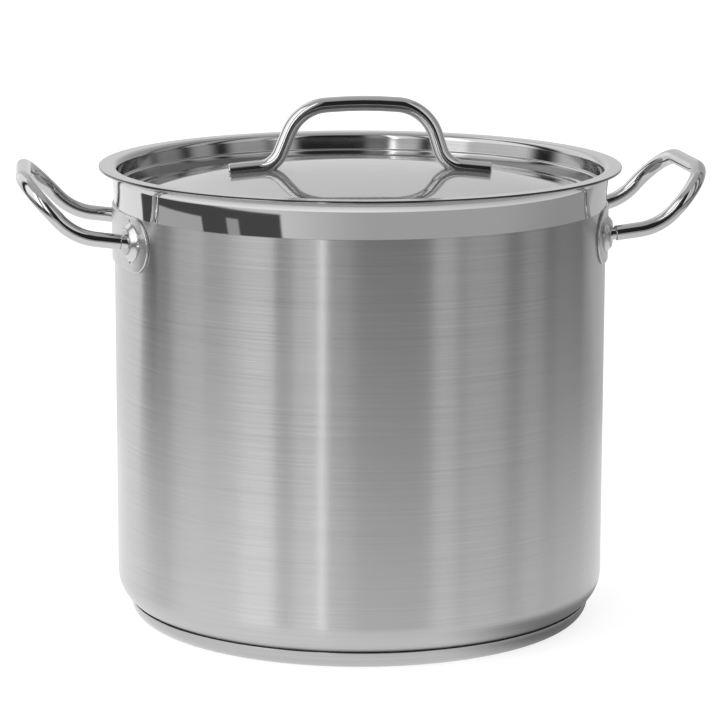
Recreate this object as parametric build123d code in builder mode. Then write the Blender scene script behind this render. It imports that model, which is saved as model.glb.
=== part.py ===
from build123d import *
import os
from math import asin, cos, degrees, radians, sin, sqrt, tan

# Stock pot with a lift-off lid. Millimetres, +Z up.
# Origin: centre of the flat underside. The side handles point along X, turned a little towards +Y.

# ---- driving dimensions -----------------------------------------------------

weld_gap = 0.02                 # hairline kept between pieces that are welded together

# pot body
body_diameter = 300.0           # outside of the straight wall
pot_sheet = 0.8
pot_rim_height = 278.5          # top face of the flared rim
pot_rim_diameter = 318.0
pot_rim_bend = 7.6              # mid-line radius of the flare under the rim
bell_height = 263.7             # where the wall starts to lean outwards below the rim
bell_lean = 9.0                 # degrees
bell_bend = 100.0
pot_corner_bend = 19.6          # mid-line radius of the bottom corner

# sandwich base
base_height = 7.7               # underside of the base to the underside of the body
capsule_sheet = 0.6
capsule_diameter = 284.4
capsule_corner = 9.5            # outside radius of the capsule's lower corner
capsule_wall_height = 10.6
capsule_lip_round = 0.25
core_edge_height = 9.6          # the core stops below the capsule's lip, which leaves a groove

# lid
lid_sheet = 0.8
lid_seat_gap = 0.05             # the flange rests this far above the pot's rim
lid_flange_diameter = 318.4
lid_well_diameter = 296.2       # mid-line of the upper well wall
lid_well_bend = 3.6             # mid-line radius from flange to well wall
lid_ledge_drop = 10.8           # flange top down to the stacking ledge
lid_ledge_diameter = 292.2      # mid-line of the wall below the ledge
lid_trough_drop = 18.9          # flange top down to the trough around the panel
lid_trough_diameter = 283.0     # where the trough's floor meets the panel's skirt
lid_panel_diameter = 274.0
lid_panel_drop = 15.0           # flange top down to the edge of the panel
lid_crown_drop = 1.6            # flange top down to the panel's centre
lid_ledge_bend = 0.9
lid_trough_bend = 2.2
lid_panel_bend = 4.0

# round rod shared by all three handles
rod_diameter = 9.2

# side handles
side_handle_turn = 1.6          # degrees from X towards +Y, on both sides
rod_spacing = 106.0             # between the two arms, centre to centre
handle_height = 240.9           # where the arms leave the plates
handle_reach = 204.5            # centre of the grip bar from the pot's axis
grip_height = 276.2             # centre of the grip bar
arm_bend_reach = 175.0          # where the arm turns upwards
arm_bend_rise = 3.6             # how far the arm has risen there
arm_bend_radius = 35.0
grip_corner_radius = 29.0

# handle plates
plate_sheet = 1.5
plate_length = 143.8            # chord across the plate, seen along the handle
plate_height = 33.0
plate_centre_height = 239.6     # a little lower than the rods
plate_edge_round = 0.6
boss_seat_reach = 154.8         # flat seat of each boss, measured from the pot's axis
boss_seat_diameter = 14.5
boss_base_diameter = 24.5
boss_hollow_wall = 1.4
boss_seat_round = 1.2
weld_dimple_diameter = 3.2
weld_dimple_depth = 0.5
boss_dimple_offset = 12.1       # weld dimples above, below and beyond each boss
middle_dimple_arc = 21.0        # weld dimples between the bosses, along the wall
middle_dimple_rise = 9.5

# lid handle
lid_handle_turn = -4.2          # degrees from X: how the lid happens to sit on the pot
lid_handle_length = 159.8       # over the tips of the feet
lid_grip_height = 313.7         # where a leg's line meets the grip bar's line
lid_grip_crown = 3.1            # the grip bar arches up by this much in the middle
lid_grip_bend = 260.0
lid_grip_offset = 1.6           # the bent grip sits this far to one side of the lid's centre
lid_foot_sink = 1.6             # height of the foot's centre line over the panel: pressed flat below
lid_leg_foot_reach = 52.1       # where a leg's line meets the foot's line
lid_leg_top_reach = 38.9
lid_leg_foot_bend = 16.0
lid_leg_top_bend = 26.5

# ---- worked out from the above -----------------------------------------------

body_radius = body_diameter / 2
rod_radius = rod_diameter / 2
half_spacing = rod_spacing / 2
plate_inner_radius = body_radius + weld_gap
plate_outer_radius = plate_inner_radius + plate_sheet
boss_angle = degrees(asin(half_spacing / boss_seat_reach))

lid_top = pot_rim_height + lid_seat_gap + lid_sheet
lid_mid = lid_top - lid_sheet / 2
panel_edge = (lid_panel_diameter / 2, lid_mid - lid_panel_drop)
panel_crown = (0, lid_mid - lid_crown_drop)
crown_rise = panel_crown[1] - panel_edge[1]
panel_curve = (panel_edge[0] ** 2 + crown_rise ** 2) / (2 * crown_rise)


def panel_top_at(reach):
    """Height of the domed panel's upper face at a distance from the axis."""
    centre_height = panel_crown[1] - panel_curve
    return centre_height + sqrt((panel_curve + lid_sheet / 2) ** 2 - reach ** 2)


# ---- pot body ------------------------------------------------------------------

wall_mid = body_radius - pot_sheet / 2
floor_mid = base_height + pot_sheet / 2
rim_mid = pot_rim_height - pot_sheet / 2
bell_mid = wall_mid + (rim_mid - bell_height) * tan(radians(bell_lean))

with BuildPart() as pot_shell:
    with BuildSketch(Plane.XZ):
        with BuildLine():
            FilletPolyline(
                (0, floor_mid),
                (wall_mid, floor_mid),
                (wall_mid, bell_height),
                (bell_mid, rim_mid),
                (pot_rim_diameter / 2, rim_mid),
                radius=[pot_corner_bend, bell_bend, pot_rim_bend],
            )
        trace(line_width=pot_sheet)
    revolve(axis=Axis.Z)

# ---- sandwich base ---------------------------------------------------------------

capsule_mid = capsule_diameter / 2 - capsule_sheet / 2

with BuildPart() as base_capsule:
    with BuildSketch(Plane.XZ):
        with BuildLine():
            FilletPolyline(
                (0, capsule_sheet / 2),
                (capsule_mid, capsule_sheet / 2),
                (capsule_mid, capsule_wall_height),
                radius=[capsule_corner - capsule_sheet / 2],
            )
        trace(line_width=capsule_sheet)
    revolve(axis=Axis.Z)
    lip = base_capsule.edges().filter_by(GeomType.CIRCLE).group_by(Axis.Z)[-1]
    fillet(lip, radius=capsule_lip_round)

core_radius = capsule_diameter / 2 - capsule_sheet - weld_gap
core_floor = capsule_sheet + weld_gap
core_ceiling = base_height - weld_gap

with BuildPart() as base_core:
    with BuildSketch(Plane.XZ):
        with BuildLine():
            FilletPolyline(
                (0, core_floor),
                (core_radius, core_floor),
                (core_radius, core_edge_height),
                radius=[capsule_corner - capsule_sheet - weld_gap],
            )
            Polyline((core_radius, core_edge_height), (0, core_edge_height), (0, core_floor))
        make_face()
        with BuildLine():
            FilletPolyline(
                (0, core_ceiling),
                (body_radius + weld_gap, core_ceiling),
                (body_radius + weld_gap, pot_rim_height),
                radius=[pot_corner_bend + pot_sheet / 2 + weld_gap],
            )
            Polyline((body_radius + weld_gap, pot_rim_height), (0, pot_rim_height), (0, core_ceiling))
        make_face(mode=Mode.SUBTRACT)
    revolve(axis=Axis.Z)

# ---- handle plates ------------------------------------------------------------------


def radial_plane(angle):
    """Upright plane through the pot's axis at handle height; its x runs outwards."""
    outwards = (cos(radians(angle)), sin(radians(angle)), 0)
    sideways = (sin(radians(angle)), -cos(radians(angle)), 0)
    return Plane(origin=(0, 0, handle_height), x_dir=outwards, z_dir=sideways)


# weld dimples as (arc length from the middle of the plate, rise from handle height)
boss_arc = radians(boss_angle) * plate_outer_radius
dimple_spots = []
for end in (-1, 1):
    dimple_spots.append((end * boss_arc, boss_dimple_offset))
    dimple_spots.append((end * boss_arc, -boss_dimple_offset))
    dimple_spots.append((end * (boss_arc + boss_dimple_offset), 0))
    dimple_spots.append((end * middle_dimple_arc, middle_dimple_rise))
    dimple_spots.append((end * middle_dimple_arc, -middle_dimple_rise))

with BuildPart() as plate_form:
    # a stadium-shaped blank bent to the wall
    with BuildSketch(Plane.YZ.offset(plate_inner_radius / 2)):
        with Locations((0, plate_centre_height)):
            SlotOverall(plate_length, plate_height)
    extrude(amount=plate_inner_radius)
    with BuildSketch(Plane.XY.offset(plate_centre_height - plate_height)):
        Circle(plate_outer_radius)
        Circle(plate_inner_radius, mode=Mode.SUBTRACT)
    extrude(amount=2 * plate_height, mode=Mode.INTERSECT)
    outer_face = plate_form.faces().sort_by(SortBy.AREA)[-1]
    fillet(outer_face.edges(), radius=plate_edge_round)
    # two raised bosses that carry the rod's ends, then the hollows behind them
    for mode, inset in ((Mode.ADD, 0), (Mode.SUBTRACT, boss_hollow_wall)):
        boss_top = boss_seat_reach - inset
        seat_edge = (boss_top, (boss_seat_diameter - inset) / 2)
        flank_foot = (plate_outer_radius - inset, boss_base_diameter / 2 - inset)
        root_edge = (body_radius - plate_sheet, flank_foot[1])
        for end in (-1, 1):
            boss_plane = radial_plane(end * boss_angle)
            with BuildSketch(boss_plane):
                with BuildLine():
                    FilletPolyline((boss_top, 0), seat_edge, flank_foot, radius=boss_seat_round)
                    Polyline(flank_foot, root_edge, (root_edge[0], 0), (boss_top, 0))
                make_face()
            revolve(axis=Axis(boss_plane.origin, boss_plane.x_dir), mode=mode)
    # nothing stands inside the pot's wall
    with BuildSketch(Plane.XY.offset(plate_centre_height - plate_height)):
        Circle(plate_inner_radius)
    extrude(amount=2 * plate_height, mode=Mode.SUBTRACT)
    # shallow round marks left by spot welding
    ball_radius = (weld_dimple_diameter ** 2 / 4 + weld_dimple_depth ** 2) / (2 * weld_dimple_depth)
    ball_reach = plate_outer_radius - weld_dimple_depth + ball_radius
    for arc, rise in dimple_spots:
        dimple_plane = radial_plane(degrees(arc / plate_outer_radius))
        with Locations(dimple_plane.location * Location((ball_reach, rise, 0))):
            Sphere(ball_radius, mode=Mode.SUBTRACT)

with BuildPart() as handle_plate_right:
    add(plate_form.part, rotation=(0, 0, side_handle_turn))

with BuildPart() as handle_plate_left:
    mirror(handle_plate_right.part, about=Plane.YZ)

# ---- side handles ---------------------------------------------------------------------

# the arms start inside the bosses and are cut back to the bosses' flat seats
seat_x = boss_seat_reach * cos(radians(boss_angle))
arm_slope = arm_bend_rise / (arm_bend_reach - seat_x)
arm_start_reach = seat_x - rod_diameter
arm_start_height = handle_height - arm_slope * rod_diameter
trim_size = 3 * rod_diameter    # of the block that cuts an arm's end

with BuildPart() as bar_form:
    with BuildLine() as arm_line:
        FilletPolyline(
            (arm_start_reach, half_spacing, arm_start_height),
            (arm_bend_reach, half_spacing, handle_height + arm_bend_rise),
            (handle_reach, half_spacing, grip_height),
            (handle_reach, -half_spacing, grip_height),
            (arm_bend_reach, -half_spacing, handle_height + arm_bend_rise),
            (arm_start_reach, -half_spacing, arm_start_height),
            radius=[arm_bend_radius, grip_corner_radius, grip_corner_radius, arm_bend_radius],
        )
    with BuildSketch(Plane(origin=arm_line.line @ 0, z_dir=arm_line.line % 0)):
        Circle(rod_radius)
    sweep()
    for end in (-1, 1):
        boss_plane = radial_plane(end * boss_angle)
        seat_point = boss_plane.origin + boss_plane.x_dir * (boss_seat_reach + weld_gap)
        with BuildSketch(Plane(origin=seat_point, z_dir=-boss_plane.x_dir)):
            Rectangle(trim_size, trim_size)
        extrude(amount=trim_size, mode=Mode.SUBTRACT)

with BuildPart() as side_handle_right:
    add(bar_form.part, rotation=(0, 0, side_handle_turn))

with BuildPart() as side_handle_left:
    mirror(side_handle_right.part, about=Plane.YZ)

# ---- lid --------------------------------------------------------------------------------

with BuildPart() as lid_panel:
    with BuildSketch(Plane.XZ):
        with BuildLine() as lid_line:
            RadiusArc(panel_crown, panel_edge, panel_curve)
            FilletPolyline(
                panel_edge,
                (lid_trough_diameter / 2, lid_mid - lid_trough_drop),
                (lid_ledge_diameter / 2, lid_mid - lid_trough_drop),
                (lid_ledge_diameter / 2, lid_mid - lid_ledge_drop),
                (lid_well_diameter / 2, lid_mid - lid_ledge_drop),
                (lid_well_diameter / 2, lid_mid),
                (lid_flange_diameter / 2, lid_mid),
                radius=[lid_trough_bend, lid_trough_bend, lid_ledge_bend, lid_ledge_bend, lid_well_bend],
            )
            fillet(lid_line.vertices().sort_by_distance(panel_edge)[0], radius=lid_panel_bend)
        trace(line_width=lid_sheet)
    revolve(axis=Axis.Z)

# ---- lid handle ----------------------------------------------------------------------------

foot_tip = lid_handle_length / 2
foot_tip_height = panel_top_at(foot_tip) + lid_foot_sink
foot_slope = (panel_top_at(lid_leg_foot_reach) - panel_top_at(foot_tip)) / (foot_tip - lid_leg_foot_reach)
foot_bend_height = foot_tip_height + foot_slope * (foot_tip - lid_leg_foot_reach)
handle_plane = Plane.XZ.rotated((0, 0, lid_handle_turn))

with BuildPart() as lid_handle:
    with BuildLine(handle_plane) as grip_line:
        FilletPolyline(
            (foot_tip, foot_tip_height),
            (lid_leg_foot_reach, foot_bend_height),
            (lid_grip_offset + lid_leg_top_reach, lid_grip_height),
            (lid_grip_offset, lid_grip_height + lid_grip_crown),
            (lid_grip_offset - lid_leg_top_reach, lid_grip_height),
            (-lid_leg_foot_reach, foot_bend_height),
            (-foot_tip, foot_tip_height),
            radius=[lid_leg_foot_bend, lid_leg_top_bend, lid_grip_bend, lid_leg_top_bend, lid_leg_foot_bend],
        )
    with BuildSketch(Plane(origin=grip_line.line @ 0, z_dir=grip_line.line % 0)):
        Circle(rod_radius)
    sweep()
    # the feet are pressed flat where they are welded to the domed panel
    with BuildSketch(Plane.XZ):
        with BuildLine():
            skin = RadiusArc(
                (0, panel_top_at(0) + weld_gap),
                (foot_tip + rod_diameter, panel_top_at(foot_tip + rod_diameter) + weld_gap),
                panel_curve + lid_sheet / 2 + weld_gap,
            )
            under = lid_mid - lid_trough_drop
            Polyline(skin @ 1, ((skin @ 1).X, under), (0, under), skin @ 0)
        make_face()
    revolve(axis=Axis.Z, mode=Mode.SUBTRACT)

# ---- write one file per piece -----------------------------------------------------------------

pieces = {
    "pot_shell": pot_shell,
    "base_capsule": base_capsule,
    "base_core": base_core,
    "handle_plate_right": handle_plate_right,
    "handle_plate_left": handle_plate_left,
    "side_handle_right": side_handle_right,
    "side_handle_left": side_handle_left,
    "lid_panel": lid_panel,
    "lid_handle": lid_handle,
}

os.makedirs("parts", exist_ok=True)
for piece_name, piece in pieces.items():
    piece.part.label = piece_name
    export_step(piece.part, f"parts/{piece_name}.step")
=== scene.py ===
import math

import bmesh
import bpy
from mathutils import Matrix, Vector


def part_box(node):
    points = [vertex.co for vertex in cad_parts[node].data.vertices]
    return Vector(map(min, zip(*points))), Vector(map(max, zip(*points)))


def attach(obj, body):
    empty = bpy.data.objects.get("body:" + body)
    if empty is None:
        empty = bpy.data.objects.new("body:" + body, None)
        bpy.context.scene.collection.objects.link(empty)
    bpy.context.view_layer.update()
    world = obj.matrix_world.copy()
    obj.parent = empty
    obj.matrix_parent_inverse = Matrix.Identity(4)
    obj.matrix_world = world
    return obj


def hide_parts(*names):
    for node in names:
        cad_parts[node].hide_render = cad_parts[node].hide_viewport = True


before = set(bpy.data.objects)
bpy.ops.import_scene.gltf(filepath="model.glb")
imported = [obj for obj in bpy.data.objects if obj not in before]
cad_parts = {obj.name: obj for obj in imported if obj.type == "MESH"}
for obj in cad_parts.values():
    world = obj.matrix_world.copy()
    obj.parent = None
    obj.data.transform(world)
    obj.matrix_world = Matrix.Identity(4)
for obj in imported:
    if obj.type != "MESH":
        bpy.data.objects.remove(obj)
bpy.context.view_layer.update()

# The stock pot as a visual model: metres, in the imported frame. The turned pieces carry exact normals and
# the bars those of a plain round bar, so that they mirror cleanly. The plates are meshed finely enough to
# do without.

mm = 0.001
degree = math.pi / 180

# ---- sizes, from the frame where it states them --------------------------------------------------

pot_low, pot_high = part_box("pot_shell")
capsule_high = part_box("base_capsule")[1]
lid_low, lid_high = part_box("lid_panel")
knob_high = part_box("lid_handle")[1]
side_turn = 1.6 * degree        # of each side handle, from the X axis towards +Y


def node_reach(node, low, high):
    """The largest distance from the pot's axis that a CAD node reaches between two heights."""
    corners = [corner.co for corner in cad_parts[node].data.vertices]
    return max(math.hypot(corner.x, corner.y) for corner in corners if low <= corner.z <= high)


def unturned_box(node, turn):
    """Lowest and highest corner of a CAD node after it is turned back about Z."""
    turn_back = Matrix.Rotation(-turn, 3, "Z")
    corners = [turn_back @ corner.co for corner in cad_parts[node].data.vertices]
    low = Vector([min(corner[axis] for corner in corners) for axis in range(3)])
    high = Vector([max(corner[axis] for corner in corners) for axis in range(3)])
    return low, high


grip_high = unturned_box("side_handle_right", side_turn)[1]
plate_low, plate_high = unturned_box("handle_plate_right", side_turn)

sheet = 0.8 * mm                # of the pot and the lid
capsule_sheet = 0.6 * mm
rod_radius = 4.6 * mm
rod_end_round = 0.8 * mm

# pot: the wall leans outwards over bell_height and bends out to the rim
rim_top = pot_high.z
rim_reach = pot_high.x
wall_reach = node_reach("pot_shell", pot_low.z, rim_top / 2)
corner_bend = 19.6 * mm
rim_bend = 7.6 * mm
bell_height = rim_top - 14.8 * mm
bell_lean = 9.0 * degree
bell_bend = 100.0 * mm
polish_low = rim_top - 22.6 * mm

capsule_bend = 9.2 * mm

# lid, from the flange inwards: well wall, ledge, trough, domed panel; heights are of the sheet's middle
lid_top = lid_high.z
lid_mid = lid_top - sheet / 2
flange_reach = lid_high.x
well_reach = 148.1 * mm
ledge_reach = 146.1 * mm
trough_reach = 141.5 * mm
panel_reach = 137.0 * mm
ledge_height = lid_mid - 10.8 * mm
trough_height = lid_low.z + sheet / 2
panel_edge_height = lid_mid - 15.0 * mm
crown_height = lid_mid - 1.6 * mm
flange_bend = 3.6 * mm
ledge_bend = 0.9 * mm
trough_bend = 2.2 * mm
panel_bend = 4.0 * mm

# side handles: each arm rises a little to its bend, then climbs to the grip
half_spacing = grip_high.y - rod_radius
grip_reach = grip_high.x - rod_radius
grip_height = grip_high.z - rod_radius
arm_height = 240.9 * mm
arm_bend_reach = 175.0 * mm
arm_bend_rise = 3.6 * mm
arm_bend = 35.0 * mm
grip_bend = 29.0 * mm

plate_sheet = 1.5 * mm
plate_gap = 0.02 * mm
plate_edge_round = 0.7 * mm
plate_half_length = plate_high.y
plate_half_height = (plate_high.z - plate_low.z) / 2
plate_height = (plate_high.z + plate_low.z) / 2
boss_seat_reach = 154.8 * mm
boss_seat_radius = 7.2 * mm
boss_base_radius = 12.3 * mm

# lid handle
knob_turn = -4.2 * degree
knob_top_height = knob_high.z - rod_radius
knob_half_length = (knob_high.x + rod_radius * math.sin(knob_turn)) / math.cos(knob_turn)

# ---- mesh tools ----------------------------------------------------------------------------------

turn_steps = 360                # faces round a turned piece
bar_steps = 56                  # faces round a bar
bend_step = 3 * degree          # at most, between points on a bend


def make_piece(name, points, faces, normals, material):
    """A smooth mesh object with given outward normals. Faces that wind the wrong way are turned round."""
    mesh = bpy.data.meshes.new(name)
    mesh.from_pydata(points, [], faces)
    agreement = sum(face.normal.dot(normals[face.vertices[0]]) * face.area for face in mesh.polygons)
    if agreement < 0:
        mesh.flip_normals()
    mesh.shade_smooth()
    mesh.normals_split_custom_set_from_vertices(normals)
    piece = bpy.data.objects.new(name, mesh)
    mesh.materials.append(material)
    bpy.context.scene.collection.objects.link(piece)
    return piece


def rounded_line(corners, bends, spacing=1.0):
    """(point, direction) pairs along a line with rounded corners, at most spacing apart on its straights."""
    corners = [Vector(corner) for corner in corners]
    walk = [(corners[0], (corners[1] - corners[0]).normalized())]

    def go_straight(goal):
        last, heading = walk[-1]
        length = (goal - last).length
        steps = math.ceil(length / spacing)
        for step in range(1, steps):
            walk.append((last.lerp(goal, step / steps), heading))

    for before, corner, after, bend in zip(corners, corners[1:], corners[2:], bends):
        arrive = (corner - before).normalized()
        leave = (after - corner).normalized()
        turn = arrive.angle(leave)
        sideways = (leave - arrive * math.cos(turn)) / math.sin(turn)
        start = corner - arrive * bend * math.tan(turn / 2)
        go_straight(start)
        steps = max(2, math.ceil(turn / bend_step))
        for step in range(steps + 1):
            angle = turn * step / steps
            point = start + arrive * bend * math.sin(angle) + sideways * bend * (1 - math.cos(angle))
            walk.append((point, arrive * math.cos(angle) + sideways * math.sin(angle)))
    go_straight(corners[-1])
    walk.append((corners[-1], (corners[-1] - corners[-2]).normalized()))
    return walk


def sheet_section(walk, thickness):
    """(point, normal) round a sheet whose middle line starts on the axis and whose far edge is round."""
    half = thickness / 2
    end, onward = walk[-1]
    walk = walk[:-1] + [(end - onward * half, onward)]
    left, right, edge = [], [], []
    for point, heading in walk:
        normal = Vector((-heading.y, heading.x))
        left.append((point + normal * half, normal))
        right.append((point - normal * half, -normal))
    edge_steps = 12
    across = Vector((-onward.y, onward.x))
    for step in range(1, edge_steps):
        angle = math.pi * step / edge_steps
        normal = across * math.cos(angle) + onward * math.sin(angle)
        edge.append((end - onward * half + normal * half, normal))
    return left + edge + right[::-1]


def turned(name, section, material):
    """A piece turned about Z from a section of (reach, height) points and their normals."""
    points, normals, rings, faces = [], [], [], []
    for (reach, height), (outwards, upwards) in section:
        count = 1 if reach < mm / 1000 else turn_steps
        rings.append((len(points), count))
        for step in range(count):
            angle = 2 * math.pi * step / turn_steps
            points.append((reach * math.cos(angle), reach * math.sin(angle), height))
            normals.append(Vector((outwards * math.cos(angle), outwards * math.sin(angle), upwards)))
    for (first, first_count), (second, second_count) in zip(rings, rings[1:]):
        for step in range(turn_steps):
            after = (step + 1) % turn_steps
            corners = [first + step % first_count, second + step % second_count]
            if second_count > 1:
                corners.append(second + after)
            if first_count > 1:
                corners.append(first + after)
            faces.append(corners)
    return make_piece(name, points, faces, normals, material)


def bar_rings(walk, radius, rounding):
    """Rings (centre, direction, radius, lean of the normal) of a round bar with softly broken ends."""
    steps = 6
    first, first_heading = walk[0]
    last, last_heading = walk[-1]
    rings = []
    for step in range(steps + 1):
        lean = (step / steps - 1) * math.pi / 2
        centre = first + first_heading * rounding * (1 + math.sin(lean))
        rings.append((centre, first_heading, radius - rounding * (1 - math.cos(lean)), lean))
    rings += [(point, heading, radius, 0) for point, heading in walk[1:-1]]
    for step in range(steps + 1):
        lean = step / steps * math.pi / 2
        centre = last - last_heading * rounding * (1 - math.sin(lean))
        rings.append((centre, last_heading, radius - rounding * (1 - math.cos(lean)), lean))
    return rings


def bar(name, rings, material, settle=None):
    """A closed round bar through rings. settle may move each point, such as onto the sheet it lies on."""
    points, normals, faces = [], [], []
    side = rings[0][1].orthogonal().normalized()
    for centre, heading, radius, lean in rings:
        side = (side - heading * side.dot(heading)).normalized()
        other = heading.cross(side)
        for step in range(bar_steps):
            angle = 2 * math.pi * step / bar_steps
            outwards = side * math.cos(angle) + other * math.sin(angle)
            points.append(centre + outwards * radius)
            normals.append((outwards * math.cos(lean) + heading * math.sin(lean)).normalized())
    for ring in range(len(rings) - 1):
        for step in range(bar_steps):
            after = (step + 1) % bar_steps
            near, far = ring * bar_steps, (ring + 1) * bar_steps
            faces.append((near + step, near + after, far + after, far + step))
    for ring in (0, len(rings) - 1):
        centre, heading, radius, lean = rings[ring]
        hub = len(points)
        points.append(centre)
        normals.append(heading * math.copysign(1, lean))
        for step in range(bar_steps):
            rim = (ring * bar_steps + step, ring * bar_steps + (step + 1) % bar_steps)
            faces.append((hub, rim[0], rim[1]) if ring else (hub, rim[1], rim[0]))
    if settle:
        points = [settle(point) for point in points]
    return make_piece(name, points, faces, normals, material)


# ---- material tools ------------------------------------------------------------------------------


class Graph:
    """Short calls that build a node tree."""

    def __init__(self, tree):
        self.tree = tree
        tree.nodes.clear()

    def feed(self, socket, value):
        if isinstance(value, bpy.types.NodeSocket):
            self.tree.links.new(value, socket)
        else:
            socket.default_value = value

    def node(self, kind, inputs=None, **settings):
        made = self.tree.nodes.new(kind)
        for key, value in settings.items():
            setattr(made, key, value)
        for key, value in (inputs or {}).items():
            self.feed(made.inputs[key], value)
        return made

    def maths(self, operation, *values):
        made = self.node("ShaderNodeMath", operation=operation)
        for socket, value in zip(made.inputs, values):
            self.feed(socket, value)
        return made.outputs[0]

    def vector(self, operation, *values):
        made = self.node("ShaderNodeVectorMath", operation=operation)
        for socket, value in zip(made.inputs, values):
            self.feed(socket, value)
        return made.outputs["Value"] if operation in ("DOT_PRODUCT", "LENGTH") else made.outputs[0]

    def rise(self, value, low, high):
        """0 below low, 1 above high, smooth between. Falls instead if low is over high."""
        start, end = (0.0, 1.0) if low < high else (1.0, 0.0)
        made = self.node("ShaderNodeMapRange", interpolation_type="SMOOTHSTEP")
        ends = (min(low, high), max(low, high), start, end)
        for socket, number in zip(made.inputs, (value,) + ends):
            self.feed(socket, number)
        return made.outputs[0]

    def blend(self, first, second, share):
        """first where share is 0, second where it is 1."""
        made = self.node("ShaderNodeMix", {0: share, 2: first, 3: second}, data_type="FLOAT")
        return made.outputs[0]

    def split(self, value):
        return self.node("ShaderNodeSeparateXYZ", {"Vector": value}).outputs

    def join(self, x, y, z):
        return self.node("ShaderNodeCombineXYZ", {"X": x, "Y": y, "Z": z}).outputs[0]

    def noise(self, place, scale, detail, roughness=0.55):
        inputs = {"Vector": place, "Scale": scale, "Detail": detail, "Roughness": roughness}
        return self.node("ShaderNodeTexNoise", inputs).outputs["Fac"]


def new_material(name):
    material = bpy.data.materials.new(name)
    material.use_nodes = True
    return material, Graph(material.node_tree)


scratch_depth = 0.01 * mm
fine_line_scale = (9.0, 9.0, 1500.0)        # round the axis twice, then across the lines
broad_line_scale = (3.0, 3.0, 160.0)
broad_line_share = 0.15
tone_by_line = 0.65
rough_by_line = 0.7
smudge_scale = 14.0
rough_by_smudge = 0.16
noise_middle = 0.5
veil_rough = 0.55


def turned_steel(name, finish, zones=()):
    """Steel with fine lines round Z, whose highlights may be stretched across the lines.

    finish holds tone, rough, stretch, lines (how strongly the lines show) and haze (a broad soft share).
    Each zone is (mask function of graph, reach, height; changes to finish where the mask is 1).
    """
    material, graph = new_material(name)
    place = graph.node("ShaderNodeTexCoord").outputs["Object"]
    x, y, z = graph.split(place)
    reach = graph.vector("LENGTH", graph.join(x, y, 0.0))
    finish = dict(finish)
    for mask_of, changes in zones:
        mask = mask_of(graph, reach, z)
        for key, value in changes.items():
            finish[key] = graph.blend(finish[key], value, mask)

    # lines run round the axis: slow along x and y, fast along the wall's height or the lid's radius
    across = graph.maths("ADD", reach, z)
    fine_place = graph.vector("MULTIPLY", graph.join(x, y, across), fine_line_scale)
    broad_place = graph.vector("MULTIPLY", graph.join(x, y, across), broad_line_scale)
    fine_lines = graph.maths("SUBTRACT", graph.noise(fine_place, 1.0, 4.0, roughness=0.7), noise_middle)
    broad_lines = graph.maths("SUBTRACT", graph.noise(broad_place, 1.0, 2.0), noise_middle)
    line_mix = graph.maths("MULTIPLY_ADD", broad_lines, broad_line_share, fine_lines)
    line_mix = graph.maths("MULTIPLY", line_mix, finish["lines"])

    tone_change = graph.maths("MULTIPLY_ADD", line_mix, tone_by_line, 1.0)
    tone = graph.maths("MULTIPLY", finish["tone"], tone_change)
    rough_change = graph.maths("MULTIPLY_ADD", line_mix, rough_by_line, 1.0)
    rough = graph.maths("MULTIPLY", finish["rough"], rough_change)
    smudge = graph.maths("SUBTRACT", graph.noise(place, smudge_scale, 3.0), noise_middle)
    rough = graph.maths("MULTIPLY", rough, graph.maths("MULTIPLY_ADD", smudge, rough_by_smudge, 1.0))

    # the direction across the lines, in which each line scatters light
    round_axis = graph.vector("CROSS_PRODUCT", (0.0, 0.0, 1.0), place)
    normal = graph.node("ShaderNodeNewGeometry").outputs["Normal"]
    over_lines = graph.vector("NORMALIZE", graph.vector("CROSS_PRODUCT", normal, round_axis))
    bump = graph.node("ShaderNodeBump", {"Height": line_mix, "Strength": 0.35, "Distance": scratch_depth})

    colour = graph.join(tone, tone, tone)
    surface = {"Base Color": colour, "Metallic": 1.0, "Roughness": rough, "Normal": bump.outputs[0],
               "Anisotropic": finish["stretch"], "Tangent": over_lines}
    sharp = graph.node("ShaderNodeBsdfPrincipled", surface).outputs[0]
    veil_surface = {"Base Color": colour, "Metallic": 1.0, "Roughness": veil_rough}
    veil = graph.node("ShaderNodeBsdfPrincipled", veil_surface).outputs[0]
    mixed = graph.node("ShaderNodeMixShader", {0: finish["haze"], 1: sharp, 2: veil})
    graph.node("ShaderNodeOutputMaterial", {"Surface": mixed.outputs[0]})
    return material


def polished_steel(name, tone, rough):
    """Polished steel with faint smears and hairline scratches."""
    smear_scale = 60.0
    scratch_scale = (400.0, 400.0, 90.0)
    least_rough = rough * 0.6
    tone_swing = 0.04
    material, graph = new_material(name)
    place = graph.node("ShaderNodeTexCoord").outputs["Object"]
    smear = graph.noise(place, smear_scale, 3.0)
    scratches = graph.noise(graph.vector("MULTIPLY", place, scratch_scale), 1.0, 2.0)
    roughness = graph.maths("MULTIPLY_ADD", smear, rough, least_rough)
    bump = graph.node("ShaderNodeBump", {"Height": scratches, "Strength": 0.15, "Distance": scratch_depth})
    shade = graph.maths("MULTIPLY_ADD", smear, tone_swing, tone - tone_swing / 2)
    surface = {"Base Color": graph.join(shade, shade, shade), "Metallic": 1.0, "Roughness": roughness,
               "Normal": bump.outputs[0]}
    metal = graph.node("ShaderNodeBsdfPrincipled", surface)
    graph.node("ShaderNodeOutputMaterial", {"Surface": metal.outputs[0]})
    return material


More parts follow.
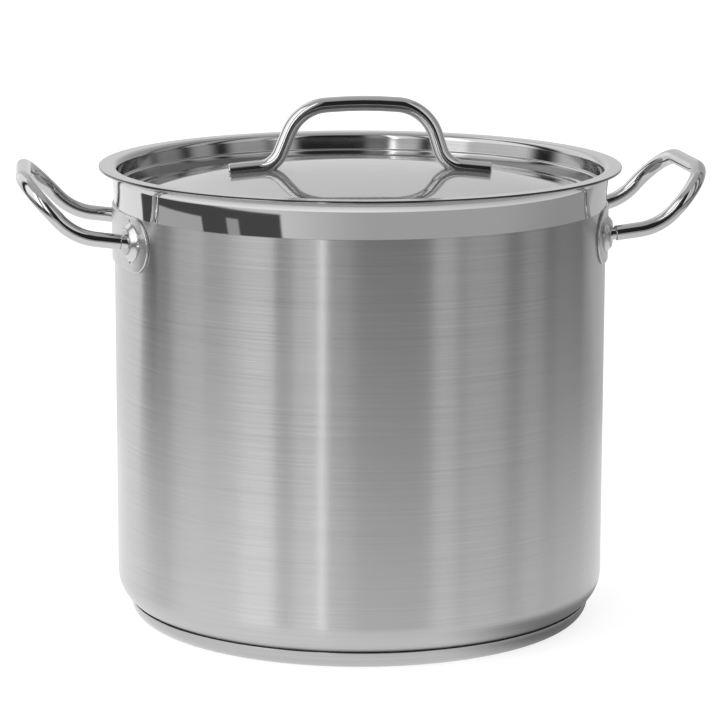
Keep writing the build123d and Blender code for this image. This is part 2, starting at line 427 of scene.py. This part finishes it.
def cast_aluminium(name):
    """The plain core between the two steel sheets of the base."""
    grain_scale = 500.0
    darkest, tone_swing = 0.36, 0.12
    material, graph = new_material(name)
    place = graph.node("ShaderNodeTexCoord").outputs["Object"]
    mottle = graph.noise(place, grain_scale, 4.0)
    shade = graph.maths("MULTIPLY_ADD", mottle, tone_swing, darkest)
    bump = graph.node("ShaderNodeBump", {"Height": mottle, "Strength": 0.5, "Distance": 0.05 * mm})
    surface = {"Base Color": graph.join(shade, shade, shade), "Metallic": 1.0, "Roughness": 0.5,
               "Normal": bump.outputs[0]}
    metal = graph.node("ShaderNodeBsdfPrincipled", surface)
    graph.node("ShaderNodeOutputMaterial", {"Surface": metal.outputs[0]})
    return material


# ---- materials -----------------------------------------------------------------------------------

# pot wall and inside, flange, well and trough, sheet edge (painted near-black as shade), base cup, polished
# band, domed panel
brushed = {"tone": 0.47, "rough": 0.25, "stretch": 1.0, "lines": 0.45, "haze": 0.0}
satin = {"tone": 0.53, "rough": 0.17, "stretch": 0.0, "lines": 0.3, "haze": 0.06}
well = {"tone": 0.41, "rough": 0.12, "stretch": 0.5, "lines": 0.6, "haze": 0.0}
# painted shade: the lid's outer edge is near-black as the shadow of the gap between it and the rim
edge = {"tone": 0.06, "rough": 0.12, "stretch": 0.0, "lines": 0.05, "haze": 0.0}
base = {"tone": 0.42, "rough": 0.24, "stretch": 0.6, "lines": 0.5, "haze": 0.05}
mirror = {"tone": 0.66, "rough": 0.045, "stretch": 0.0, "lines": 0.03, "haze": 0.03}
panel = {"tone": 0.58, "rough": 0.05, "stretch": 0.0, "lines": 0.03, "haze": 0.02}
panel_middle = {"haze": 0.30}
# painted shade under the lid's edge: the bend under the rim gets a darker tone towards the rim's top
rim_bend_painted_shade = {"tone": 0.33}


def on_polished_band(graph, reach, height):
    """The outer face of the wall over the polishing line."""
    blur = 0.2 * mm
    outside = graph.rise(reach, wall_reach - sheet * 0.7, wall_reach - sheet * 0.5)
    over_line = graph.rise(height, polish_low - blur, polish_low + blur)
    return graph.maths("MULTIPLY", outside, over_line)


def on_rim_bend(graph, reach, height):
    """The bend under the rim, painted darker towards the lid's edge above it: painted shade."""
    return graph.rise(height, rim_top - 7.0 * mm, rim_top - 1.5 * mm)


def on_panel(graph, reach, height):
    """The lid's domed panel."""
    return graph.rise(reach, panel_reach + 0.5 * mm, panel_reach - 0.5 * mm)


def on_panel_middle(graph, reach, height):
    """The middle of the panel, hazier than its border."""
    return graph.rise(reach, panel_reach - 20 * mm, panel_reach - 55 * mm)


def on_flange(graph, reach, height):
    """The lid's flange."""
    return graph.rise(height, lid_top - 1.2 * mm, lid_top - 0.8 * mm)


def on_lid_edge_shade(graph, reach, height):
    """The outer edge of the lid's sheet, painted near-black: painted shade of the gap under it."""
    return graph.rise(reach, flange_reach - 0.5 * mm, flange_reach - 0.3 * mm)


body_zones = ((on_polished_band, mirror), (on_rim_bend, rim_bend_painted_shade))
body_steel = turned_steel("body_steel", brushed, body_zones)
base_steel = turned_steel("base_steel", base)
lid_zones = ((on_panel, panel), (on_panel_middle, panel_middle), (on_flange, satin), (on_lid_edge_shade, edge))
lid_steel = turned_steel("lid_steel", well, lid_zones)
bar_steel = polished_steel("bar_steel", 0.50, 0.06)
plate_steel = polished_steel("plate_steel", 0.57, 0.24)
core_metal = cast_aluminium("core_metal")

# ---- pot body and base ---------------------------------------------------------------------------


def add_pot_body():
    wall = wall_reach - sheet / 2
    rim_middle = rim_top - sheet / 2
    corners = (
        (0, pot_low.z + sheet / 2),
        (wall, pot_low.z + sheet / 2),
        (wall, bell_height),
        (wall + (rim_middle - bell_height) * math.tan(bell_lean), rim_middle),
        (rim_reach, rim_middle),
    )
    walk = rounded_line(corners, (corner_bend, bell_bend, rim_bend))
    piece = turned("pot_body", sheet_section(walk, sheet), body_steel)
    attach(piece, "pot")
    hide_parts("pot_shell")


def add_base():
    side = capsule_high.x - capsule_sheet / 2
    corners = ((0, capsule_sheet / 2), (side, capsule_sheet / 2), (side, capsule_high.z))
    walk = rounded_line(corners, (capsule_bend,))
    piece = turned("base_cup", sheet_section(walk, capsule_sheet), base_steel)
    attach(piece, "pot")
    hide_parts("base_capsule")
    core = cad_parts["base_core"]
    core.data.materials.clear()
    core.data.materials.append(core_metal)


# ---- side handles --------------------------------------------------------------------------------

boss_angle = math.asin(half_spacing / boss_seat_reach)
plate_back_reach = wall_reach + plate_gap
plate_face_reach = plate_back_reach + plate_sheet
plate_half_length_along = math.asin(plate_half_length / plate_face_reach) * plate_face_reach
plate_straight = plate_half_length_along - plate_half_height

# distances along the plate from its middle, and up from the bosses' own height
boss_along = boss_angle * plate_face_reach
boss_up = arm_height - plate_height
weld_mark_radius = 1.9 * mm
weld_mark_depth = 0.5 * mm
weld_ring = 12.1 * mm
middle_marks_along = 21.0 * mm
middle_marks_up = 9.5 * mm
weld_marks = (
    (boss_along, weld_ring),
    (boss_along, -weld_ring),
    (boss_along + weld_ring, 0),
    (middle_marks_along, middle_marks_up),
    (middle_marks_along, -middle_marks_up),
)


def plate_rise(along, up):
    """How far the plate's face stands over its back, at an arc length from its middle and a height."""
    from_spine = math.hypot(max(abs(along) - plate_straight, 0), up)
    into_edge = max(from_spine - (plate_half_height - plate_edge_round), 0)
    rise = plate_sheet - plate_edge_round + math.sqrt(max(plate_edge_round ** 2 - into_edge ** 2, 0))
    from_boss = math.hypot(abs(along) - boss_along, up - boss_up)
    share = (boss_base_radius - from_boss) / (boss_base_radius - boss_seat_radius)
    share = min(max(share, 0), 1)
    rise += (boss_seat_reach - plate_face_reach) * share * share * (3 - 2 * share)
    for mark_along, mark_up in weld_marks:
        from_mark = math.hypot(abs(along) - mark_along, up - boss_up - mark_up) / weld_mark_radius
        if from_mark < 1:
            rise -= weld_mark_depth * (1 - from_mark ** 2) ** 2
    return rise


def plate_outline():
    """Points round the plate's spine: where each leaves the spine, and in which direction."""
    side_steps, end_steps = 150, 64
    outline = []
    for end, start_angle in ((1, 90), (-1, 270)):
        for step in range(side_steps):
            outline.append((end * plate_straight * (1 - 2 * step / side_steps), start_angle * degree))
        for step in range(end_steps):
            outline.append((-end * plate_straight, (start_angle + 180 * step / end_steps) * degree))
    return outline


def add_plate(name, side):
    """A stadium of sheet bent round the wall, built as rings from its spine outwards and back behind."""
    ring_steps, edge_steps = 26, 8
    merge_distance, least_edge = 0.001 * mm, 0.0005 * mm
    outline = plate_outline()
    inner = plate_half_height - plate_edge_round
    offsets = [inner * step / ring_steps for step in range(ring_steps + 1)]
    for step in range(1, edge_steps + 1):
        offsets.append(inner + plate_edge_round * math.sin(step / edge_steps * math.pi / 2))
    rings = [(offset, True) for offset in offsets] + [(plate_half_height, False), (0, False)]
    shape = bmesh.new()
    made = []
    for offset, on_face in rings:
        ring = []
        for spine, angle in outline:
            along = spine + offset * math.cos(angle)
            up = offset * math.sin(angle)
            out = plate_back_reach + (plate_rise(along, up) if on_face else 0)
            turn = along / plate_face_reach + side_turn
            point = (side * out * math.cos(turn), out * math.sin(turn), plate_height + up)
            ring.append(shape.verts.new(point))
        made.append(ring)
    for inner_ring, outer_ring in zip(made, made[1:]):
        for step in range(len(outline)):
            after = (step + 1) % len(outline)
            shape.faces.new((inner_ring[step], inner_ring[after], outer_ring[after], outer_ring[step]))
    bmesh.ops.remove_doubles(shape, verts=shape.verts, dist=merge_distance)
    bmesh.ops.dissolve_degenerate(shape, edges=shape.edges, dist=least_edge)
    bmesh.ops.recalc_face_normals(shape, faces=shape.faces)
    mesh = bpy.data.meshes.new(name)
    shape.to_mesh(mesh)
    shape.free()
    mesh.shade_smooth()
    mesh.materials.append(plate_steel)
    piece = bpy.data.objects.new(name, mesh)
    bpy.context.scene.collection.objects.link(piece)
    return piece


def add_side_handle(side, word):
    """The bent bar and its plate on one side of the pot."""

    def placed(reach, across, height):
        out = reach * math.cos(side_turn) - across * math.sin(side_turn)
        return Vector((side * out, reach * math.sin(side_turn) + across * math.cos(side_turn), height))

    seat_x = boss_seat_reach * math.cos(boss_angle)
    slope = arm_bend_rise / (arm_bend_reach - seat_x)
    clear = 1.9 * mm            # from the middle of the boss's seat to the bar's end
    start_x = seat_x + clear
    corners = []
    for end in (1, -1):
        arm = [
            placed(start_x, end * half_spacing, arm_height + slope * clear),
            placed(arm_bend_reach, end * half_spacing, arm_height + arm_bend_rise),
            placed(grip_reach, end * half_spacing, grip_height),
        ]
        corners += arm if end == 1 else arm[::-1]
    walk = rounded_line(corners, (arm_bend, grip_bend, grip_bend, arm_bend))
    rings = bar_rings(walk, rod_radius, rod_end_round)

    # a short neck joins each end of the bar to its boss: distance from the seat and radius, in mm
    neck = ((-3.2, 5.0), (-1.6, 4.7), (-0.8, 4.2), (0.0, 3.9), (0.8, 3.75), (clear / mm, 3.7))
    start, heading = walk[0]
    finish, onward = walk[-1]
    before = [(start + heading * (reach * mm - clear), heading, radius * mm, 0) for reach, radius in neck]
    after = []
    for reach, radius in neck[::-1]:
        after.append((finish - onward * (reach * mm - clear), onward, radius * mm, 0))
    first_cap = before[0][:3] + (-math.pi / 2,)
    last_cap = after[-1][:3] + (math.pi / 2,)
    rings = [first_cap] + before + rings + after + [last_cap]
    grip = bar("side_bar_" + word, rings, bar_steel)
    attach(grip, "pot")
    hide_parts("side_handle_" + word)
    plate = add_plate("side_plate_" + word, side)
    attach(plate, "pot")
    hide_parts("handle_plate_" + word)


# ---- lid -----------------------------------------------------------------------------------------

crown_rise = crown_height - panel_edge_height
panel_curve = (panel_reach ** 2 + crown_rise ** 2) / (2 * crown_rise)


def panel_point(reach, over=0.0):
    """Height of the domed panel's middle surface at a reach, or of the surface a distance over it."""
    return crown_height - panel_curve + math.sqrt((panel_curve + over) ** 2 - reach ** 2)


def add_lid_panel():
    dome_end = panel_reach - 7 * mm
    dome_steps = 44
    dome = []
    for step in range(dome_steps):
        reach = dome_end * step / dome_steps
        lean = math.asin(reach / panel_curve)
        dome.append((Vector((reach, panel_point(reach))), Vector((math.cos(lean), -math.sin(lean)))))
    corners = (
        (dome_end, panel_point(dome_end)),
        (panel_reach, panel_edge_height),
        (trough_reach, trough_height),
        (ledge_reach, trough_height),
        (ledge_reach, ledge_height),
        (well_reach, ledge_height),
        (well_reach, lid_mid),
        (flange_reach, lid_mid),
    )
    bends = (panel_bend, trough_bend, trough_bend, ledge_bend, ledge_bend, flange_bend)
    walk = dome + rounded_line(corners, bends)
    piece = turned("lid_pan", sheet_section(walk, sheet), lid_steel)
    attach(piece, "lid")
    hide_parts("lid_panel")


def add_lid_handle():
    """An arched bar on two legs, whose feet are pressed onto the panel."""
    foot_reach, foot_bend, foot_sink = 52.1 * mm, 16.0 * mm, 1.6 * mm
    top_reach, top_bend, top_offset = 38.9 * mm, 26.5 * mm, 1.6 * mm
    arch, arch_bend = 3.1 * mm, 260.0 * mm
    arch_height = knob_top_height + arch_bend * (math.hypot(1, arch / top_reach) - 1)
    skin = sheet / 2
    clear = 0.02 * mm
    tip = knob_half_length
    tip_height = panel_point(tip, skin) + foot_sink
    foot_height = panel_point(foot_reach, skin) + foot_sink

    def on_plane(reach, height):
        return Vector((reach * math.cos(knob_turn), reach * math.sin(knob_turn), height))

    corners = (
        on_plane(tip, tip_height),
        on_plane(foot_reach, foot_height),
        on_plane(top_offset + top_reach, arch_height - arch),
        on_plane(top_offset, arch_height),
        on_plane(top_offset - top_reach, arch_height - arch),
        on_plane(-foot_reach, foot_height),
        on_plane(-tip, tip_height),
    )
    bends = (foot_bend, top_bend, arch_bend, top_bend, foot_bend)
    walk = rounded_line(corners, bends, spacing=2 * mm)

    def settle(point):
        """Keeps a point of the bar just over the panel."""
        floor = panel_point(math.hypot(point.x, point.y), skin + clear)
        return Vector((point.x, point.y, max(point.z, floor)))

    piece = bar("lid_bar", bar_rings(walk, rod_radius, rod_end_round), bar_steel, settle)
    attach(piece, "lid")
    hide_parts("lid_handle")


add_pot_body()
add_base()
add_side_handle(1, "right")
add_side_handle(-1, "left")
add_lid_panel()
add_lid_handle()

# ---- studio --------------------------------------------------------------------------------------

photo_azimuth = -7.5 * degree   # of the camera, from straight in front


def add_camera():
    """A long lens looking down a little from above the rim, as in the photograph."""
    distance, height, pitch, roll = 1.9826, 0.55025, 0.196, 0.0025
    focal_share = 4.5489            # focal length over picture width
    data = bpy.data.cameras.new("camera")
    data.sensor_width = 36.0
    data.lens = data.sensor_width * focal_share
    data.shift_x = 0.0003
    data.shift_y = 0.0007
    data.clip_end = 100.0
    camera = bpy.data.objects.new("camera", data)
    camera.location = (distance * math.sin(photo_azimuth), -distance * math.cos(photo_azimuth), height)
    aim = Matrix.Rotation(photo_azimuth, 3, "Z") @ Matrix.Rotation(math.pi / 2 - pitch, 3, "X")
    camera.rotation_euler = (aim @ Matrix.Rotation(roll, 3, "Z")).to_euler()
    bpy.context.scene.collection.objects.link(camera)
    bpy.context.scene.camera = camera


def seen_by_camera(graph):
    return graph.node("ShaderNodeLightPath").outputs["Is Camera Ray"]


def azimuth_of(graph, right, back):
    """Degrees from the camera's side of the pot, positive to the camera's right."""
    return graph.maths("DEGREES", graph.maths("ARCTAN2", right, graph.maths("MULTIPLY", back, -1.0)))


def card_light(graph, azimuth, elevation, card):
    """Brightness of one studio card in a direction: a soft-edged patch of the room."""
    centre, half_width, soft, low, high, high_soft, brightness = card
    offset = graph.maths("WRAP", graph.maths("SUBTRACT", azimuth, centre), 180.0, -180.0)
    across = graph.rise(graph.maths("ABSOLUTE", offset), half_width + soft / 2, half_width - soft / 2)
    over = graph.rise(elevation, low - high_soft / 2, low + high_soft / 2)
    under = graph.rise(elevation, high + high_soft / 2, high - high_soft / 2)
    share = graph.maths("MULTIPLY", across, graph.maths("MULTIPLY", over, under))
    return graph.maths("MULTIPLY", share, brightness)


# centre of the card from the camera (to the right), half width, side softness, lowest, highest, end
# softness, brightness over the room's own; angles in degrees
studio_cards = (
    (-77.0, 20.0, 10.0, 0.0, 55.0, 10.0, 1.6),
    (-48.0, 9.0, 6.0, 0.0, 55.0, 10.0, 2.6),
    (-24.0, 7.0, 6.0, 0.0, 55.0, 10.0, 1.5),
    (-17.0, 1.3, 1.5, 0.0, 55.0, 10.0, 4.6),
    (-8.0, 5.0, 6.0, 0.0, 55.0, 10.0, 0.5),
    (40.0, 6.0, 6.0, 0.0, 55.0, 10.0, 1.3),
    (60.0, 11.0, 8.0, 0.0, 55.0, 10.0, 0.9),
    (88.0, 7.0, 8.0, 0.0, 55.0, 10.0, 0.8),
    (112.0, 10.0, 10.0, 0.0, 55.0, 10.0, 0.5),
    (148.0, 22.0, 10.0, -20.0, 60.0, 10.0, 0.58),
    (-135.0, 20.0, 12.0, -20.0, 60.0, 10.0, 1.30),
    (-172.0, 17.0, 12.0, -20.0, 60.0, 10.0, 0.78),
    (0.0, 200.0, 20.0, 58.0, 110.0, 16.0, 0.62),
)
room_tone = 0.03


def add_world():
    """White to the camera. To the metal it is a dim room with bright cards."""
    world = bpy.data.worlds.new("studio")
    world.use_nodes = True
    bpy.context.scene.world = world
    graph = Graph(world.node_tree)
    direction = graph.node("ShaderNodeTexCoord").outputs["Generated"]
    from_camera = graph.node("ShaderNodeVectorRotate", {"Vector": direction, "Angle": -photo_azimuth},
                             rotation_type="Z_AXIS").outputs[0]
    right, back, up = graph.split(from_camera)
    azimuth = azimuth_of(graph, right, back)
    elevation = graph.maths("DEGREES", graph.maths("ARCSINE", up))
    light = room_tone
    for card in studio_cards:
        light = graph.maths("ADD", card_light(graph, azimuth, elevation, card), light)
    light = graph.blend(light, 1.0, seen_by_camera(graph))
    background = graph.node("ShaderNodeBackground", {"Color": graph.join(light, light, light)})
    graph.node("ShaderNodeOutputWorld", {"Surface": background.outputs[0]})


# what the metal sees on the floor: a bright disc round the pot, with a shaded patch against its right
# side; a dimmer floor in front that ends in the dark; a bright floor behind; and on the left a dark window
# with two lit panes
disc_reach, disc_left_tone, disc_right_tone = 0.60, 1.16, 0.92
shade_reach, shade_tone = 0.168, 0.25
front_reach, front_left_tone, front_tone, front_right_tone = 2.0, 0.78, 0.49, 0.38
behind_start, behind_slant, behind_left_tone, behind_right_tone = 0.2, 0.6, 1.00, 0.60
window_azimuth, window_half_width, window_reach, window_dark = -75.0, 41.0, 0.76, 0.06
# centre and half width of each lit pane in degrees, how far out it starts, brightness
panes = ((-89.0, 15.5, 1.02, 0.50), (-57.0, 3.0, 0.95, 0.40))
side_soft, pane_side_soft = 0.8, 0.5        # degrees, of the window's and the panes' sides
near_soft = 0.02                # of their near edges
shade_soft = 0.01
broad_soft = 0.1
# where each tone starts to pass into the next and where it ends: degrees, or metres to the pot's right
front_middle_fade = (-42.0, 8.0)
front_right_fade = (55.0, 105.0)
behind_fade = (-0.5, 0.5)
disc_fade = (-0.10, 0.40)
shade_fade = (0.05, 0.13)


def window_part(graph, azimuth, reach, centre, half_width, blur, start):
    """1 on the floor between two directions and beyond a distance."""
    aside = graph.maths("ABSOLUTE", graph.maths("SUBTRACT", azimuth, centre))
    within = graph.rise(aside, half_width + blur, half_width - blur)
    return graph.maths("MULTIPLY", within, graph.rise(reach, start - near_soft, start + near_soft))


def open_floor_tone(graph, reach, right, back, azimuth):
    """Brightness of the floor to the metal, without its window."""
    front = graph.blend(front_left_tone, front_tone, graph.rise(azimuth, *front_middle_fade))
    front = graph.blend(front, front_right_tone, graph.rise(azimuth, *front_right_fade))
    front_end = graph.rise(reach, front_reach - broad_soft, front_reach + broad_soft)
    front = graph.blend(front, room_tone, front_end)
    behind = graph.maths("MULTIPLY_ADD", graph.maths("MAXIMUM", right, 0.0), -behind_slant, back)
    behind_tone = graph.blend(behind_left_tone, behind_right_tone, graph.rise(right, *behind_fade))
    is_behind = graph.rise(behind, behind_start - broad_soft, behind_start + broad_soft)
    tone = graph.blend(front, behind_tone, is_behind)
    disc_tone = graph.blend(disc_left_tone, disc_right_tone, graph.rise(right, *disc_fade))
    in_shade = graph.maths("MULTIPLY", graph.rise(right, *shade_fade),
                           graph.rise(reach, shade_reach + shade_soft, shade_reach))
    disc_tone = graph.blend(disc_tone, shade_tone, in_shade)
    on_disc = graph.rise(reach, disc_reach + broad_soft / 2, disc_reach - broad_soft / 2)
    return graph.blend(tone, disc_tone, on_disc)


def floor_tone(graph):
    """Brightness of the floor to the metal."""
    place = graph.node("ShaderNodeNewGeometry").outputs["Position"]
    reach = graph.vector("LENGTH", place)
    rightwards = (math.cos(photo_azimuth), math.sin(photo_azimuth), 0.0)
    backwards = (-math.sin(photo_azimuth), math.cos(photo_azimuth), 0.0)
    right = graph.vector("DOT_PRODUCT", place, rightwards)
    back = graph.vector("DOT_PRODUCT", place, backwards)
    azimuth = azimuth_of(graph, right, back)
    tone = open_floor_tone(graph, reach, right, back, azimuth)
    window_tone = window_dark
    for centre, half_width, start, brightness in panes:
        in_pane = window_part(graph, azimuth, reach, centre, half_width, pane_side_soft, start)
        window_tone = graph.blend(window_tone, brightness, in_pane)
    in_window = window_part(graph, azimuth, reach, window_azimuth, window_half_width, side_soft,
                            window_reach)
    return graph.blend(tone, window_tone, in_window)


def add_floor():
    """A pale table: wide and almost white to the camera, and a glowing pattern to the metal."""
    half = 12.0
    paper_tone, glow_tone = 0.45, 0.78
    mesh = bpy.data.meshes.new("floor")
    corners = ((-half, -half, 0), (half, -half, 0), (half, half, 0), (-half, half, 0))
    mesh.from_pydata(corners, [], [(0, 1, 2, 3)])
    floor = bpy.data.objects.new("floor", mesh)
    bpy.context.scene.collection.objects.link(floor)
    material, graph = new_material("floor")
    mesh.materials.append(material)
    tone = floor_tone(graph)
    pattern = graph.node("ShaderNodeEmission", {"Color": graph.join(tone, tone, tone)}).outputs[0]
    paper = graph.node("ShaderNodeBsdfDiffuse", {"Color": (paper_tone,) * 3 + (1.0,)}).outputs[0]
    white = graph.node("ShaderNodeEmission", {"Color": (glow_tone,) * 3 + (1.0,)}).outputs[0]
    lit = graph.node("ShaderNodeAddShader", {0: paper, 1: white}).outputs[0]
    shown = graph.node("ShaderNodeMixShader", {0: seen_by_camera(graph), 1: pattern, 2: lit})
    graph.node("ShaderNodeOutputMaterial", {"Surface": shown.outputs[0]})


add_camera()
add_world()
add_floor()
bpy.context.scene.view_settings.view_transform = "Standard"
